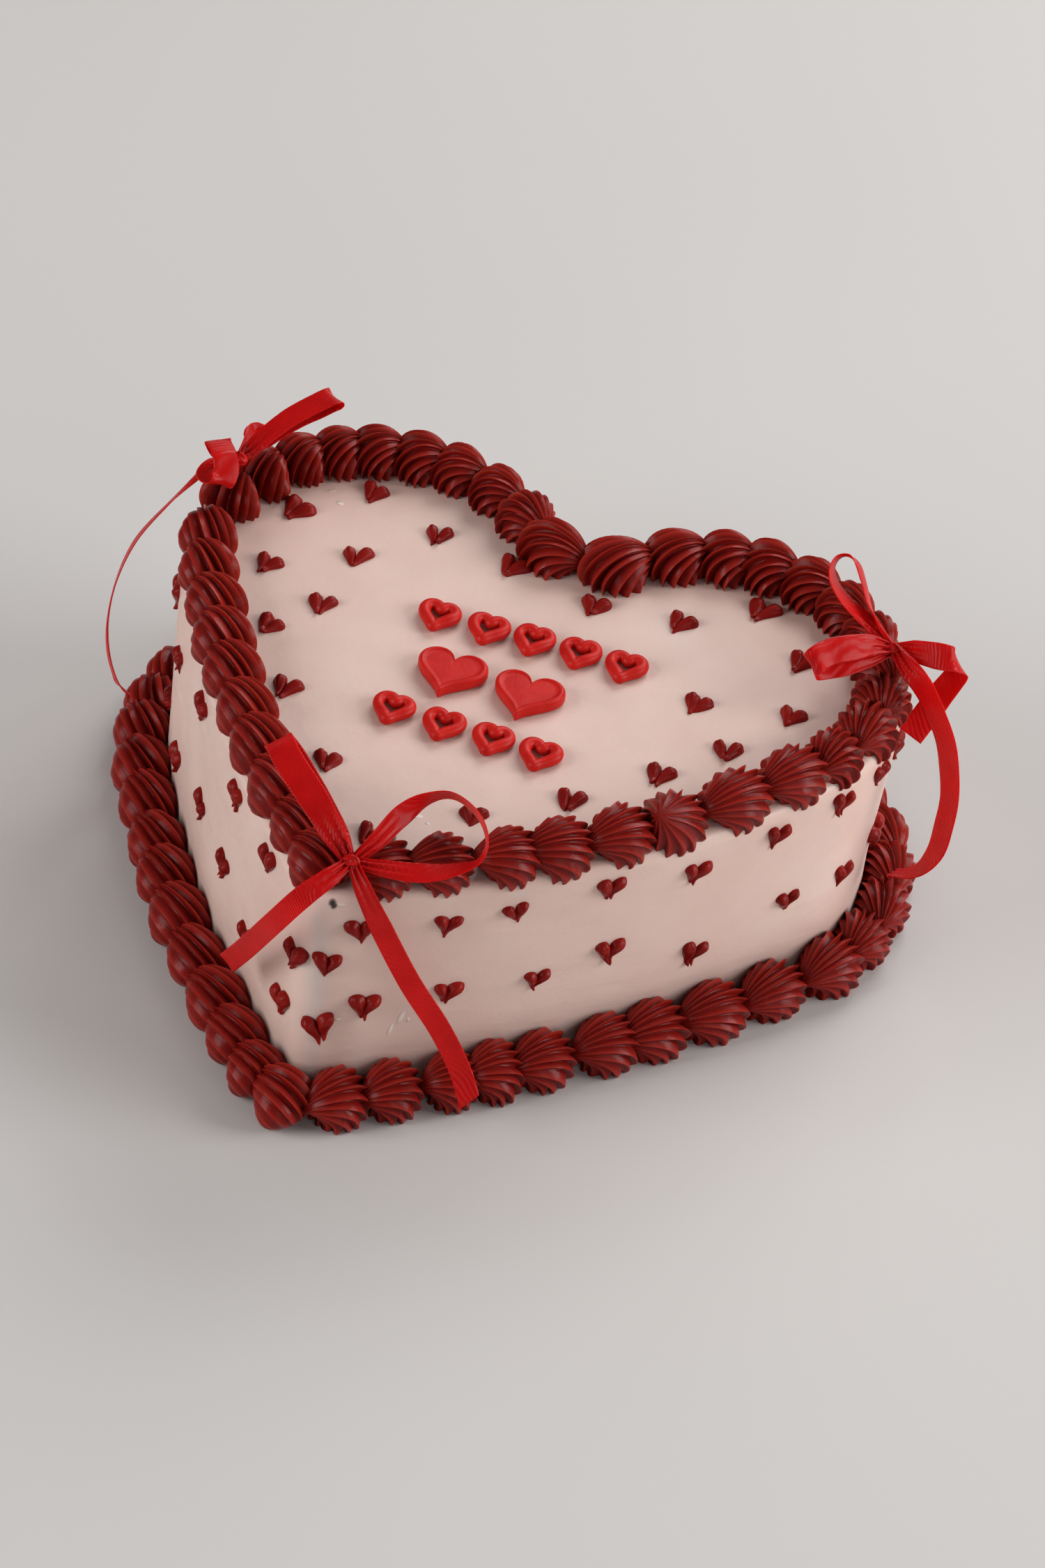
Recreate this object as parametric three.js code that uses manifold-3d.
// Heart shaped cake with piped shell borders, little piped hearts, fondant hearts and ribbon bows.
// Millimetres, +Z up. The heart's tip points to -Y and its cleft to +Y.
// The origin is the middle of the flat base face, and the cake stands on z = 0.

import * as THREE from 'three';
import { mergeVertices } from 'three/addons/utils/BufferGeometryUtils.js';
import Module from 'manifold-3d';

const wasm = await Module();
wasm.setup();

// Driving dimensions of the iced body
const BODY_HEIGHT = 78;
const TOP_EDGE = 3;
const TIP_Y = -100;
const TIP_RADIUS = 9;
const CLEFT_RADIUS = 16;
const BASE_LOBES = {
  right: { radius: 54.7, x: 50.5, y: 43.4, side: 510 },
  left: { radius: 56.4, x: 49.9, y: 33.3, side: 418 },
};
const TOP_LOBES = {
  right: { radius: 56.5, x: 54.8, y: 42.4, side: 260 },
  left: { radius: 56.0, x: 50.3, y: 35.4, side: 472 },
};
const ARC_STEPS = { tip: 2, side: 4, lobe: 12, cleft: 4 };
const GAP = 0.3;

// Slivers that joining leaves are closed up to this size
const SLIVER = 0.1;

// Driving dimensions of the piped shells
const TOP_BORDER = { inset: 6.4, rise: 5, lean: 0 };
const BASE_BORDER = { inset: -8.3, rise: 8.4, lean: 10 };
const SHELL_FORMS = {
  upright: {
    size: [23.6, 19.4, 19.2],
    powers: [0.4, 0.7],
    droop: [88, 6],
    roll: 0,
    turn: 12,
    twist: 0,
    raise: 0,
    aside: 0,
  },
  rolled: {
    size: [23.6, 19.8, 18.4],
    powers: [0.26, 0.7],
    droop: [84, 8],
    roll: 28,
    turn: 4,
    twist: 0,
    raise: 1.4,
    aside: 1.3,
  },
  leaning: {
    size: [23.6, 20, 18.8],
    powers: [0.34, 0.7],
    droop: [86, 8],
    roll: 14,
    turn: 6,
    twist: 0,
    raise: 0.6,
    aside: 0.6,
  },
  slanted: {
    size: [23.5, 18.6, 18.4],
    powers: [0.36, 0.7],
    droop: [58, 30],
    roll: 0,
    turn: 6,
    twist: 75,
    raise: 0,
    aside: 0,
  },
};
const SHELL_RIDGE = 0.2;
const SHELL_STATIONS = [42, 86, 132];
const SHELL_CRESTS = [-128, -43, 43, 128];
const SHELL_UNDERSIDE = { angles: [180], hollow: 0.12 };
const SHELL_UNEVEN = { place: 0.8, size: 0.05, turn: 5 };
const SHELL_SPACING = { usual: 17, shortest: 0.85, longest: 1.2 };
const SHELL_SEED = 11;

// Stretches of piping, as places along the border's line, counted from the tip round by the right.
// The tails point to smaller places. Leaning and rolled shells turn outwards, and slanted ones are twisted.
const TOP_PIPING = [
  { form: 'upright', places: [448, 434, 420, 408, 396, 382.5] },
  { form: 'upright', places: [370, 355.5, 341, 326, 305, 288] },
  { form: 'upright', places: [273, 260, 245, 231.5, 217, 203, 189, 174, 158.5] },
  { form: 'rolled', places: [142, 121.5, 101.5, 84.5, 66, 49.5, 31, 15] },
  { form: 'slanted', places: [466.5, 482, 498, 513, 529, 546, 562, 580, 597, 612] },
];
const BASE_PIPING = [
  { form: 'upright', places: evenly(486, 205, 18) },
  { form: 'leaning', places: [188, 172, 151.5, 131.5, 111.8, 96, 76.4, 61.9, 47.2] },
  { form: 'leaning', places: [30.4, 14.3] },
  { form: 'slanted', places: [500, 515, 529, 545, 562, 580, 595, 612] },
  { form: 'slanted', places: [630, 648.5, 665.5, 681, 694] },
];

// Little piped hearts: places along the top outline, with their distance in from it or their height
// Each is two drops, whose bulb and tail are shares of the heart's width and length from its middle.
const PIPED_HEART = { width: 9, length: 9.5, rise: 2.4, sink: 0.8 };
const DROP = { bulb: [0.25, 0.2], radius: 0.26, tail: [0.03, -0.55], rim: [-115, -40, 40, 115] };
const TOP_HEARTS = [
  { inset: 19, places: [347] },
  { inset: 21.5, places: [275, 334, 421, 462, 541, 570] },
  { inset: 24.5, places: [19, 510, 605] },
  { inset: 28.5, places: [53, 86, 118, 144, 179, 231] },
  { inset: 31.5, places: [321, 372] },
  { inset: 38.5, places: [532] },
  { inset: 49, places: [150, 472] },
];
const WALL_HEARTS = [
  { height: 68.5, places: [88, 143, 167, 185, 602, 631] },
  { height: 65, places: [14, 39, 59, 116, 507, 561] },
  { height: 63, places: evenly(205, 484, 8) },
  { height: 52, places: [5, 523, 653] },
  { height: 41, places: [93] },
  { height: 36, places: [17, 42, 70, 156, 178, 570, 596] },
  { height: 35, places: evenly(201, 488, 8) },
  { height: 29, places: [4, 124, 619, 647] },
  { height: 23, places: [507, 532] },
];
const HEART_UNEVEN = { place: 1, size: 0.1, turn: 14 };
const HEART_SEED = 5;

// Fondant pieces in three rows on the top: rolled heart outlines, and two flat hearts in the middle row
const FONDANT_TURN = 7;
const FONDANT_LIFT = 0.15;
const ROPE = { radius: 2.3, sides: 4, steps: 12, firstCorner: -135 };
const ROPE_HEART = { width: 9.6, height: 10.4 };
const FLAT_HEART = { width: 21, height: 19.5, thickness: 3.6, bevel: 1.2, dish: 0.36, steps: 16 };

// Weights of the four cosines that draw a heart's height, and half the height that they span
const HEART_CURVE = { weights: [13, -5, -2, -1], span: 14.5 };
const FONDANT_ROWS = [
  { kind: 'rope', places: [[-24, 24.5], [-9, 26.5], [4.5, 28.8], [18.5, 30.5], [32.5, 32]] },
  { kind: 'flat', places: [[-9.5, 3], [14, 5.5]] },
  { kind: 'rope', places: [[-16.5, -19.5], [-1, -18.5], [14, -16.8], [28.5, -15.8]] },
];

// Ribbons: stations are x, y, z, width and twist in degrees. Every strand leaves the knot, and a loop
// comes back to it. Its face looks to the front and up, or its width follows a given direction.
const RIBBON_THICKNESS = 0.5;
const RIBBON_STEPS = 10;
const FACE_DIRECTION = [0.29, -0.7, 0.65];
const KNOT = { size: [2.7, 2.2, 2.1], strand: 2.8, spread: 0.4 };
const BOWS = {
  front_bow: {
    knot: [9, -96.5, 91],
    ribbons: [
      {
        loop: true,
        across: [0.56, 0.57, 0.36],
        stations: [
          [1.5, -93, 95, 7, 0], [-9, -86, 98.5, 8.4, 0], [-21.5, -77.5, 101, 8.4, 0],
          [-26.5, -72.5, 101, 8.4, 0], [-28.5, -69.5, 98.5, 8.4, 0], [-24, -71, 96.5, 8.4, 0],
          [-10.5, -81.5, 95, 8.4, 0], [2.5, -92, 94, 6.5, 0],
        ],
      },
      {
        loop: true,
        stations: [
          [12.5, -88.5, 94, 5, 0], [15, -78, 97, 6.2, 18], [18.5, -71, 99, 6.4, 56],
          [24, -66, 99.5, 6.4, 74], [33, -68, 98.5, 6.4, 80], [39.5, -74, 96, 6.4, 84],
          [40, -79, 92.5, 6.4, 76], [34.5, -83.5, 90, 6.4, 56], [27, -89, 89.5, 6.4, 34],
          [18.5, -93, 90, 5, 16],
        ],
      },
      {
        stations: [
          [6.5, -104, 90, 5.4, 0], [2, -111, 86, 6.4, 0], [-6, -111.5, 73, 6.4, 0],
          [-17.5, -103, 52, 6.4, 0], [-29, -91.5, 31.2, 6.4, 0],
        ],
      },
      {
        stations: [
          [14.5, -99.5, 86, 5, 0], [20.5, -97.5, 72, 6.3, 0], [29.5, -95, 54, 6.3, 0],
          [38.5, -91, 37, 6.3, 0], [45, -89.5, 23.5, 6.3, 0], [49.5, -91.5, 15.5, 6.3, 0],
        ],
      },
    ],
  },
  right_bow: {
    knot: [101.5, 64, 94],
    ribbons: [
      {
        loop: true,
        stations: [
          [96, 65, 97, 5, 40], [89.5, 66, 100, 7, 58], [83.5, 66.5, 103.5, 7.8, 64],
          [78.5, 69.5, 106.5, 7.8, 68], [77, 74, 108.5, 7.8, 76], [78.5, 77.5, 109, 7.8, 92],
          [81.5, 78.5, 107.5, 7.8, 102], [85.5, 75.5, 104, 7.8, 102], [90, 71, 100, 7.8, 102],
          [95.5, 66.5, 97, 5.5, 80],
        ],
      },
      {
        loop: true,
        across: [0.65, -0.42, -0.59],
        stations: [
          [97, 59, 97, 6.4, 0], [93, 52.5, 99, 7.8, 0], [88.5, 46.5, 99.5, 7.8, 0],
          [86.5, 41.5, 99, 7.8, 0], [86, 41, 97, 7.8, 0], [88.5, 45, 95.5, 7.8, 0],
          [92.5, 50, 95, 7.8, 0], [97, 57, 94.5, 6.4, 0],
        ],
      },
      {
        across: [0.71, -0.44, -0.48],
        stations: [
          [107, 65, 95, 6.4, 0], [114.5, 65, 96.5, 7.8, 0], [119.5, 66.5, 96, 7.8, 0],
          [120.5, 69.5, 92, 7.8, 0], [119, 69, 87, 7.8, 0], [116, 67.5, 80, 7.8, -12],
          [114.5, 64, 76, 7.8, -18], [112, 58.5, 70, 7.8, -18],
        ],
      },
      {
        stations: [
          [107.5, 60, 93.5, 5.5, 20], [114.5, 56.5, 91, 7.8, 44], [120.5, 54, 85, 7.8, 49],
          [125, 52.5, 78, 7.8, 51], [127.5, 52, 69, 7.8, 49], [129, 51.5, 59, 7.8, 48],
          [128.5, 51.5, 48, 7.8, 48], [127, 52, 38, 7.8, 50], [123.5, 52.5, 30, 7.8, 58],
          [119.5, 52.5, 25.5, 7.8, 68], [114.5, 52.5, 23, 6, 76],
        ],
      },
    ],
  },
  left_bow: {
    knot: [-99, 41, 94.5],
    ribbons: [
      {
        loop: true,
        across: [0.7, 0.69, -0.17],
        stations: [
          [-103.5, 38, 98, 7, 0], [-104.5, 37, 101.5, 7.8, 0], [-100.5, 33, 102, 7.8, 0],
          [-97.5, 29.5, 99, 7.8, 0], [-97.5, 26, 96.5, 7.8, 0], [-102.5, 28.5, 95, 7.8, 0],
          [-103, 34.5, 94.5, 7, 0],
        ],
      },
      {
        loop: true,
        across: [0.89, -0.45, 0.07],
        stations: [
          [-96, 48, 98, 6.4, 0], [-91, 56, 103, 7.8, 0], [-85.5, 62.5, 106.5, 7.8, 0],
          [-82.5, 67, 107.5, 7.8, 0], [-82.5, 68.5, 105.5, 7.8, 0], [-85.5, 66, 102.5, 7.8, 0],
          [-91.5, 59.5, 99, 7.8, 0], [-96, 50, 96, 6.4, 0],
        ],
      },
      {
        stations: [
          [-104.5, 34.5, 94, 5, 72], [-107.5, 26, 91.5, 6.4, 79], [-111.5, 20.5, 86, 7.8, 82],
          [-117, 12.5, 76, 7.8, 82], [-119, 5.5, 65, 7.8, 84], [-118.5, 0, 54, 7.8, 84],
          [-117, -1, 42, 7.8, 84], [-114, 0.4, 31.2, 7.8, 84], [-112, 3.3, 25.9, 7.8, 84],
        ],
      },
      {
        stations: [
          [-100.5, 51, 94, 6, 30], [-104, 62, 87, 7.8, 30], [-108, 67, 74, 7.8, 30],
          [-110.5, 69, 57, 7.8, 30], [-111, 68, 44, 7.8, 30],
        ],
      },
    ],
  },
};

const icing = new THREE.MeshStandardMaterial({ color: 0xdcc0b6, roughness: 0.45, metalness: 0 });
const piping = new THREE.MeshStandardMaterial({ color: 0x6e1a18, roughness: 0.4, metalness: 0 });
const fondant = new THREE.MeshStandardMaterial({ color: 0xc01a12, roughness: 0.4, metalness: 0 });
const satin = new THREE.MeshStandardMaterial({ color: 0xb80d10, roughness: 0.35, metalness: 0 });

// Seeded random draws between -1 and 1
function makeDraw(seed) {
  let state = seed;
  return () => {
    state = (state * 1664525 + 1013904223) % 4294967296;
    return state / 2147483648 - 1;
  };
}

const radians = THREE.MathUtils.degToRad;

function evenly(from, to, count) {
  return Array.from({ length: count }, (_, i) => THREE.MathUtils.lerp(from, to, i / (count - 1)));
}

function facetedGeometry(points, faces) {
  const geometry = new THREE.BufferGeometry();
  geometry.setAttribute('position', new THREE.Float32BufferAttribute(points.flatMap((p) => p.toArray()), 3));
  geometry.setIndex(faces);
  return geometry;
}

// Closed surface through rings of points that run from a first pole to a last pole
function loft(rings, firstPole, lastPole) {
  const size = rings[0].length;
  const points = [firstPole, ...rings.flat(), lastPole];
  const last = points.length - 1;
  const faces = [];
  for (let i = 0; i < size; i += 1) {
    const next = (i + 1) % size;
    faces.push(0, 1 + next, 1 + i);
    for (let ring = 0; ring < rings.length - 1; ring += 1) {
      const a = 1 + ring * size;
      const b = a + size;
      faces.push(a + i, a + next, b + next, a + i, b + next, b + i);
    }
    faces.push(last, last - size + i, last - size + next);
  }
  return facetedGeometry(points, faces);
}

function toSolid(geometry) {
  const bare = geometry.clone();
  bare.deleteAttribute('normal');
  bare.deleteAttribute('uv');
  const merged = mergeVertices(bare, 1e-4);
  return new wasm.Manifold(new wasm.Mesh({
    numProp: 3,
    vertProperties: new Float32Array(merged.attributes.position.array),
    triVerts: new Uint32Array(merged.index.array),
  }));
}

function toGeometry(solid) {
  const mesh = solid.simplify(SLIVER).getMesh();
  const geometry = new THREE.BufferGeometry();
  geometry.setAttribute('position', new THREE.BufferAttribute(new Float32Array(mesh.vertProperties), 3));
  geometry.setIndex(new THREE.BufferAttribute(new Uint32Array(mesh.triVerts), 1));
  return geometry;
}

// The largest body of a solid, without loose scraps
function largest(solid) {
  return solid.decompose().reduce((best, piece) => (piece.volume() > best.volume() ? piece : best));
}

// One half of the heart, as the tip's, the side's and the lobe's centre, with the angles where they meet
function heartHalf(lobe) {
  const tip = new THREE.Vector2(0, TIP_Y + TIP_RADIUS);
  const centre = new THREE.Vector2(lobe.x, lobe.y);
  const reach = centre.distanceTo(tip);
  const fromTip = lobe.side - TIP_RADIUS;
  const fromLobe = lobe.side - lobe.radius;
  const along = (fromTip ** 2 - fromLobe ** 2 + reach ** 2) / (2 * reach);
  const across = Math.sqrt(fromTip ** 2 - along ** 2);
  const unit = centre.clone().sub(tip).normalize();
  const side = tip.clone().addScaledVector(unit, along).add(
    new THREE.Vector2(-unit.y, unit.x).multiplyScalar(across),
  );
  return {
    tip,
    centre,
    side,
    tipAngle: tip.clone().sub(side).angle(),
    lobeAngle: centre.clone().sub(side).angle(),
  };
}

function signedAngle(vector) {
  return Math.atan2(vector.y, vector.x);
}

// The heart's outline as tangent arcs, counter-clockwise from the tip. The cleft's arc is hollow.
function heartArcs(lobes) {
  const right = heartHalf(lobes.right);
  const left = heartHalf(lobes.left);
  const mirror = (v) => new THREE.Vector2(-v.x, v.y);
  const leftCentre = mirror(left.centre);
  const reachRight = lobes.right.radius + CLEFT_RADIUS;
  const reachLeft = lobes.left.radius + CLEFT_RADIUS;
  const span = right.centre.distanceTo(leftCentre);
  const along = (reachRight ** 2 - reachLeft ** 2 + span ** 2) / (2 * span);
  const unit = leftCentre.clone().sub(right.centre).normalize();
  const cleft = right.centre.clone().addScaledVector(unit, along).add(
    new THREE.Vector2(unit.y, -unit.x).multiplyScalar(Math.sqrt(reachRight ** 2 - along ** 2)),
  );
  const toRight = signedAngle(cleft.clone().sub(right.centre));
  const toLeft = signedAngle(cleft.clone().sub(leftCentre));
  const halfTurn = (angle) => (angle > Math.PI ? angle - 2 * Math.PI : angle);
  const rightTip = halfTurn(right.tipAngle);
  const rightLobe = halfTurn(right.lobeAngle);
  const leftTip = Math.PI - halfTurn(left.tipAngle);
  const leftLobe = Math.PI - halfTurn(left.lobeAngle);
  const arc = (centre, radius, from, to, steps, hollow = false) => (
    { centre, radius, from, to, steps, hollow }
  );
  return [
    arc(right.tip, TIP_RADIUS, -Math.PI / 2, rightTip, ARC_STEPS.tip),
    arc(right.side, lobes.right.side, rightTip, rightLobe, ARC_STEPS.side),
    arc(right.centre, lobes.right.radius, rightLobe, toRight, ARC_STEPS.lobe),
    arc(cleft, CLEFT_RADIUS, toRight - Math.PI, toLeft - Math.PI, ARC_STEPS.cleft, true),
    arc(leftCentre, lobes.left.radius, toLeft, leftLobe, ARC_STEPS.lobe),
    arc(mirror(left.side), lobes.left.side, leftLobe, leftTip, ARC_STEPS.side),
    arc(left.tip, TIP_RADIUS, leftTip, Math.PI * 1.5, ARC_STEPS.tip),
  ];
}

const BASE_ARCS = heartArcs(BASE_LOBES);
const TOP_ARCS = heartArcs(TOP_LOBES);

// A point on an arc, a fraction of the way along it, moved in from the outline
function arcPoint(arc, fraction, inset) {
  const angle = THREE.MathUtils.lerp(arc.from, arc.to, fraction);
  const radius = arc.hollow ? arc.radius + inset : arc.radius - inset;
  const direction = new THREE.Vector2(Math.cos(angle), Math.sin(angle));
  return {
    point: arc.centre.clone().addScaledVector(direction, radius),
    outward: arc.hollow ? direction.clone().negate() : direction,
  };
}

// The arc, and the fraction along it, at a distance along the outline
function locate(arcs, place, inset) {
  const lengths = arcs.map((arc) => (
    (arc.hollow ? arc.radius + inset : arc.radius - inset) * Math.abs(arc.to - arc.from)
  ));
  let index = 0;
  let rest = place;
  while (rest > lengths[index] && index < arcs.length - 1) {
    rest -= lengths[index];
    index += 1;
  }
  return { index, fraction: rest / lengths[index] };
}

function outline(arcs, inset, z) {
  return arcs.flatMap((arc) => Array.from({ length: arc.steps }, (_, step) => {
    const { point } = arcPoint(arc, step / arc.steps, inset);
    return new THREE.Vector3(point.x, point.y, z);
  }));
}

// The iced body, or the same body grown by a gap on its sides and top
function bodyGeometry(grow, foot) {
  const shoulder = BODY_HEIGHT - TOP_EDGE + grow;
  const rings = [
    outline(BASE_ARCS, -grow, foot),
    outline(TOP_ARCS, -grow, shoulder),
    outline(TOP_ARCS, TOP_EDGE - grow, BODY_HEIGHT + grow),
  ];
  return loft(rings, new THREE.Vector3(0, 0, foot), new THREE.Vector3(0, 0, BODY_HEIGHT + grow));
}

// One lobe of a little piped heart: a drop that runs from its bulb to the shared tail.
// Lying in the XY plane with the tail towards -Y, and standing up along +Z.
function pipedDrop(side, size) {
  const { width, length, rise, sink } = PIPED_HEART;
  const spot = ([x, y]) => new THREE.Vector2(side * width * x, length * y).multiplyScalar(size);
  const bulb = spot(DROP.bulb);
  const tail = spot(DROP.tail);
  const away = signedAngle(bulb.clone().sub(tail));
  const rim = DROP.rim.map((turn) => new THREE.Vector3(
    bulb.x + Math.cos(away + radians(turn)) * width * DROP.radius * size,
    bulb.y + Math.sin(away + radians(turn)) * width * DROP.radius * size,
    -sink,
  ));
  const ring = [...rim, new THREE.Vector3(tail.x, tail.y, -sink)];
  const foot = new THREE.Vector3(bulb.x, bulb.y, -sink);
  const crown = new THREE.Vector3(bulb.x, bulb.y, rise);
  return loft([ring], foot, crown);
}

// A frame whose X runs along the outline, Y points away from the tail, and Z stands off the icing
function heartFrame(origin, up, outwards, turn) {
  const frame = new THREE.Matrix4().makeBasis(
    new THREE.Vector3().crossVectors(up, outwards),
    up,
    outwards,
  );
  frame.multiply(new THREE.Matrix4().makeRotationZ(radians(turn)));
  return frame.setPosition(origin);
}

function topHeartFrame(place, inset, draw) {
  const { index, fraction } = locate(TOP_ARCS, place, 0);
  const { point } = arcPoint(TOP_ARCS[index], fraction, inset);
  const origin = new THREE.Vector3(point.x, point.y, BODY_HEIGHT);
  const turn = draw() * HEART_UNEVEN.turn;
  return heartFrame(origin, new THREE.Vector3(0, 1, 0), new THREE.Vector3(0, 0, 1), turn);
}

function wallHeartFrame(place, height, draw) {
  const { index, fraction } = locate(TOP_ARCS, place, 0);
  const low = arcPoint(BASE_ARCS[index], fraction, 0);
  const high = arcPoint(TOP_ARCS[index], fraction, 0);
  const foot = new THREE.Vector3(low.point.x, low.point.y, 0);
  const head = new THREE.Vector3(high.point.x, high.point.y, BODY_HEIGHT);
  const level = height + draw() * HEART_UNEVEN.place;
  const origin = foot.clone().lerp(head, level / BODY_HEIGHT);
  const up = head.clone().sub(foot).normalize();
  const outwards = new THREE.Vector3(high.outward.x, high.outward.y, 0);
  outwards.addScaledVector(up, -outwards.dot(up)).normalize();
  return heartFrame(origin, up, outwards, draw() * HEART_UNEVEN.turn);
}

function addHearts(body) {
  const draw = makeDraw(HEART_SEED);
  let result = body;
  const add = (frame) => {
    const size = 1 + draw() * HEART_UNEVEN.size;
    [-1, 1].forEach((side) => {
      result = result.add(toSolid(pipedDrop(side, size).applyMatrix4(frame)));
    });
  };
  TOP_HEARTS.forEach(({ inset, places }) => {
    places.forEach((place) => add(topHeartFrame(place, inset, draw)));
  });
  WALL_HEARTS.forEach(({ height, places }) => {
    places.forEach((place) => add(wallHeartFrame(place, height, draw)));
  });
  return result;
}

// Angles round a shell: crests with hollows between them over the top, and a plain underside
function shellSection() {
  const section = [];
  SHELL_CRESTS.forEach((crest, i) => {
    section.push({ angle: crest, hollow: 0 });
    const next = SHELL_CRESTS[i + 1];
    if (next !== undefined) {
      section.push({ angle: (crest + next) / 2, hollow: 1 });
    }
  });
  SHELL_UNDERSIDE.angles.forEach((angle) => section.push({ angle, hollow: SHELL_UNDERSIDE.hollow }));
  return section;
}

// A piped shell: ridges start under the head, rise over it and run together in the tail, towards +X.
// `around` runs from the head's pole at 0 to the tail's at 180 degrees. The head is blunt.
function shellPoint(form, around, angle, hollow) {
  const along = (1 - Math.cos(radians(around))) / 2;
  const [headPower, tailPower] = form.powers;
  const widest = headPower / (headPower + tailPower);
  const bulge = (share) => share ** headPower * (1 - share) ** tailPower;
  const reach = bulge(along) / bulge(widest) * (1 - SHELL_RIDGE * hollow);
  const azimuth = radians(angle + form.twist * (along - widest));
  const droop = radians(THREE.MathUtils.lerp(form.droop[0], -form.droop[1], along));
  const x = 2 * along - 1;
  const z = Math.cos(azimuth) * reach;
  return new THREE.Vector3(
    (x * Math.cos(droop) - z * Math.sin(droop)) * form.size[0] / 2,
    Math.sin(azimuth) * reach * form.size[1] / 2,
    (x * Math.sin(droop) + z * Math.cos(droop)) * form.size[2] / 2,
  );
}

function shellGeometry(form) {
  const section = shellSection();
  const rings = SHELL_STATIONS.map((around) => (
    section.map(({ angle, hollow }) => shellPoint(form, around, -angle, hollow))
  ));
  return loft(rings, shellPoint(form, 0, 0, 0), shellPoint(form, 180, 0, 0));
}

// Half the distance between a shell's neighbours, as a share of the usual spacing
function shellStretch(places, i) {
  const before = Math.max(i - 1, 0);
  const after = Math.min(i + 1, places.length - 1);
  const spacing = Math.abs(places[after] - places[before]) / (after - before);
  const { usual, shortest, longest } = SHELL_SPACING;
  return THREE.MathUtils.clamp(spacing / usual, shortest, longest);
}

// Where a shell lies on the border's line: +X to its tail, +Y outwards
function shellFrame(arcs, border, level, place, form, stretch, draw) {
  const { index, fraction } = locate(arcs, place + draw() * SHELL_UNEVEN.place, border.inset);
  const { point, outward } = arcPoint(arcs[index], fraction, border.inset);
  const up = new THREE.Vector3(0, 0, 1);
  const out = new THREE.Vector3(outward.x, outward.y, 0);
  const frame = new THREE.Matrix4().makeBasis(out.clone().cross(up), out, up);
  frame.multiply(new THREE.Matrix4().makeRotationX(radians(-border.lean - form.roll)));
  frame.scale(new THREE.Vector3(stretch, 1, 1));
  const turn = form.turn + draw() * SHELL_UNEVEN.turn;
  frame.multiply(new THREE.Matrix4().makeRotationZ(radians(turn)));
  const size = 1 + draw() * SHELL_UNEVEN.size;
  frame.scale(new THREE.Vector3(size, size, size));
  const spot = point.clone().addScaledVector(outward, form.aside);
  return frame.setPosition(spot.x, spot.y, level + border.rise + form.raise);
}

function pipedBorder(arcs, border, level, stretches, cutters) {
  const draw = makeDraw(SHELL_SEED);
  let ring = null;
  stretches.forEach(({ form, places }) => {
    places.forEach((place, i) => {
      const stretch = shellStretch(places, i);
      const frame = shellFrame(arcs, border, level, place, SHELL_FORMS[form], stretch, draw);
      const shell = toSolid(shellGeometry(SHELL_FORMS[form]).applyMatrix4(frame));
      ring = ring ? ring.add(shell) : shell;
    });
  });
  return largest(cutters.reduce((solid, cutter) => solid.subtract(cutter), ring));
}

// A block from the floor downwards, wider than the cake
function belowFloor() {
  const side = 400;
  const depth = 60;
  const block = new THREE.BoxGeometry(side, side, depth);
  block.translate(0, 0, -depth / 2);
  return toSolid(block);
}

// A heart outline about its own centre, the tip towards -Y
function heartCurvePoint(t, width, height) {
  const angle = t * Math.PI * 2;
  const rise = HEART_CURVE.weights.reduce((sum, weight, i) => sum + weight * Math.cos((i + 1) * angle), 0);
  return new THREE.Vector2(
    Math.sin(angle) ** 3 * width / 2,
    rise / HEART_CURVE.span * height / 2,
  );
}

// A rolled rope bent into a heart outline, lying flat
function ropeHeartGeometry() {
  const { radius, sides, steps, firstCorner } = ROPE;
  const stations = Array.from({ length: steps }, (_, i) => {
    const p = heartCurvePoint((i + 0.5) / steps, ROPE_HEART.width, ROPE_HEART.height);
    return new THREE.Vector3(p.x, p.y, 0);
  });
  const points = [];
  const faces = [];
  stations.forEach((centre, i) => {
    const before = stations[(i + steps - 1) % steps];
    const after = stations[(i + 1) % steps];
    const out = after.clone().sub(before).cross(new THREE.Vector3(0, 0, 1)).normalize();
    for (let k = 0; k < sides; k += 1) {
      const angle = radians(firstCorner + 360 * k / sides);
      const height = (Math.sin(angle) + Math.SQRT1_2) * radius;
      points.push(centre.clone().addScaledVector(out, Math.cos(angle) * radius).setZ(height));
      const next = (k + 1) % sides;
      const ahead = ((i + 1) % steps) * sides;
      faces.push(i * sides + k, ahead + next, i * sides + next, i * sides + k, ahead + k, ahead + next);
    }
  });
  return facetedGeometry(points, faces);
}

// A flat heart with a bevelled edge and a slightly dished face
function flatHeartGeometry() {
  const { width, height, thickness, bevel, dish, steps } = FLAT_HEART;
  const ring = (scale, z) => Array.from({ length: steps }, (_, i) => {
    const p = heartCurvePoint(1 - (i + 0.5) / steps, width * scale, height * scale);
    return new THREE.Vector3(p.x, p.y, z);
  });
  const inner = 1 - 2 * bevel / width;
  const rings = [ring(1, 0), ring(1, thickness - bevel), ring(inner, thickness)];
  return loft(rings, new THREE.Vector3(0, 0, 0), new THREE.Vector3(0, 0, thickness - dish));
}

function makeMesh(name, geometry, material) {
  const mesh = new THREE.Mesh(geometry, material.clone());
  mesh.name = name;
  return mesh;
}

function fondantPieces() {
  const pieces = new THREE.Group();
  const shapes = { rope: ropeHeartGeometry, flat: flatHeartGeometry };
  FONDANT_ROWS.forEach(({ kind, places }, row) => {
    places.forEach(([x, y], i) => {
      const name = `fondant_${kind}_${row + 1}_${i + 1}`;
      const mesh = makeMesh(name, shapes[kind](), fondant);
      mesh.position.set(x, y, BODY_HEIGHT + GAP + FONDANT_LIFT);
      mesh.rotation.z = radians(FONDANT_TURN);
      pieces.add(mesh);
    });
  });
  return pieces;
}

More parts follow.
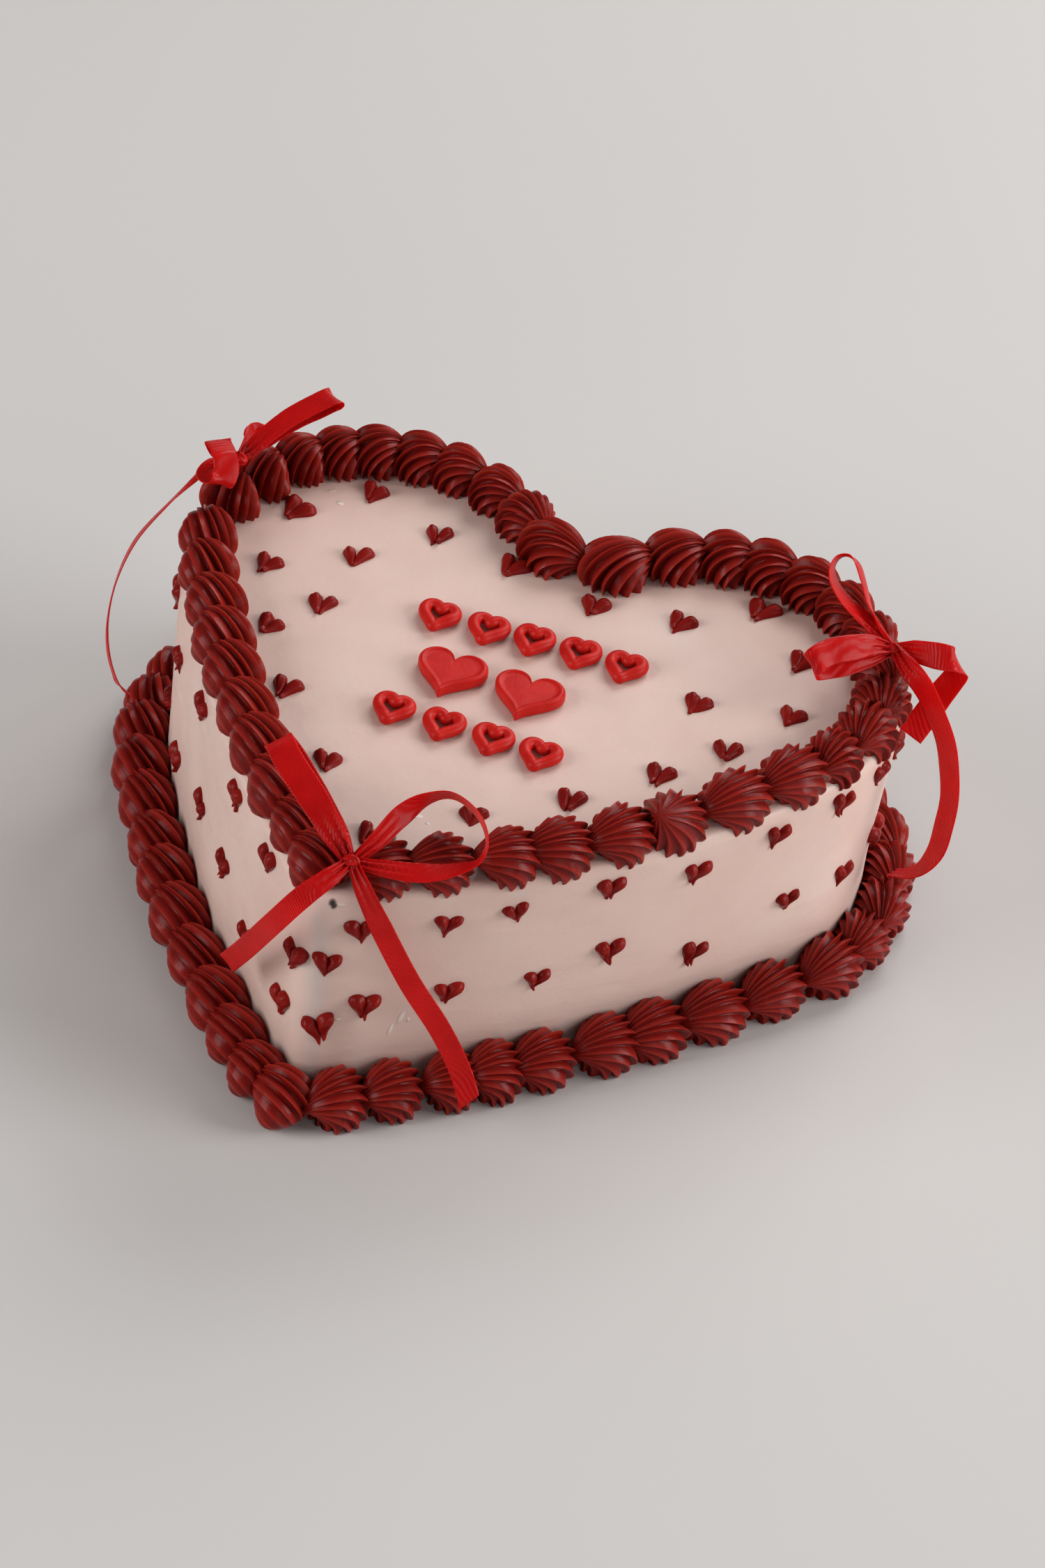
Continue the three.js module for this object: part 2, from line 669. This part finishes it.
// A strand's stations with the knot's own added, each a little above or below the last one's
function tiedStations({ loop, stations }, knot, order) {
  const tie = (step) => [knot[0], knot[1], knot[2] + (step - 3) * KNOT.spread, KNOT.strand, stations[0][4]];
  const leaving = [tie(order * 2), ...stations];
  return loop ? [...leaving, tie(order * 2 + 1)] : leaving;
}

// Cross-sections of a flat ribbon along its stations
function ribbonSections(stations, across, grow) {
  const path = new THREE.CatmullRomCurve3(stations.map(([x, y, z]) => new THREE.Vector3(x, y, z)));
  const facing = new THREE.Vector3(...FACE_DIRECTION).normalize();
  return Array.from({ length: RIBBON_STEPS + 1 }, (_, i) => {
    const t = i / RIBBON_STEPS;
    const tangent = path.getTangent(t);
    const index = Math.min(Math.floor(t * (stations.length - 1)), stations.length - 2);
    const blend = t * (stations.length - 1) - index;
    const width = THREE.MathUtils.lerp(stations[index][3], stations[index + 1][3], blend);
    const twist = THREE.MathUtils.lerp(stations[index][4], stations[index + 1][4], blend);
    const sideways = across ? new THREE.Vector3(...across) : tangent.clone().cross(facing);
    sideways.addScaledVector(tangent, -sideways.dot(tangent)).normalize();
    sideways.applyAxisAngle(tangent, radians(twist));
    const through = tangent.clone().cross(sideways);
    const centre = path.getPoint(t);
    const corner = (u, v) => centre.clone()
      .addScaledVector(sideways, u * (width / 2 + grow))
      .addScaledVector(through, v * (RIBBON_THICKNESS / 2 + grow));
    return { centre, ring: [corner(-1, -1), corner(1, -1), corner(1, 1), corner(-1, 1)] };
  });
}

function ribbonHalf(sections) {
  return toSolid(loft(sections.map(({ ring }) => ring), sections[0].centre, sections.at(-1).centre));
}

function ribbonSolid(ribbon, knot, order, grow) {
  const sections = ribbonSections(tiedStations(ribbon, knot, order), ribbon.across, grow);
  const middle = Math.floor(sections.length / 2);
  return ribbonHalf(sections.slice(0, middle + 1)).add(ribbonHalf(sections.slice(middle)));
}

function knotSolid(centre, grow) {
  const knot = new THREE.SphereGeometry(1, 8, 5);
  knot.scale(...KNOT.size.map((size) => size + grow));
  knot.translate(...centre);
  return toSolid(knot);
}

// A bow, or the seat that it presses into soft icing when it is grown by a gap
function bowSolid({ knot, ribbons }, grow) {
  return ribbons.reduce(
    (solid, ribbon, order) => solid.add(ribbonSolid(ribbon, knot, order, grow)),
    knotSolid(knot, grow),
  );
}

const bodySolid = toSolid(bodyGeometry(0, 0));
const clearance = toSolid(bodyGeometry(GAP, -1));
const bowSeats = Object.values(BOWS).map((bow) => bowSolid(bow, GAP));
const topBorder = pipedBorder(TOP_ARCS, TOP_BORDER, BODY_HEIGHT, TOP_PIPING, [clearance, ...bowSeats]);
const baseBorder = pipedBorder(BASE_ARCS, BASE_BORDER, 0, BASE_PIPING, [clearance, belowFloor()]);

const cake = new THREE.Group();
cake.add(makeMesh('cake', toGeometry(addHearts(bodySolid)), icing));
cake.add(makeMesh('top_border', toGeometry(topBorder), piping));
cake.add(makeMesh('base_border', toGeometry(baseBorder), piping));
cake.add(fondantPieces());
Object.entries(BOWS).forEach(([name, bow]) => {
  cake.add(makeMesh(name, toGeometry(bowSolid(bow, 0)), satin));
});

export default cake;
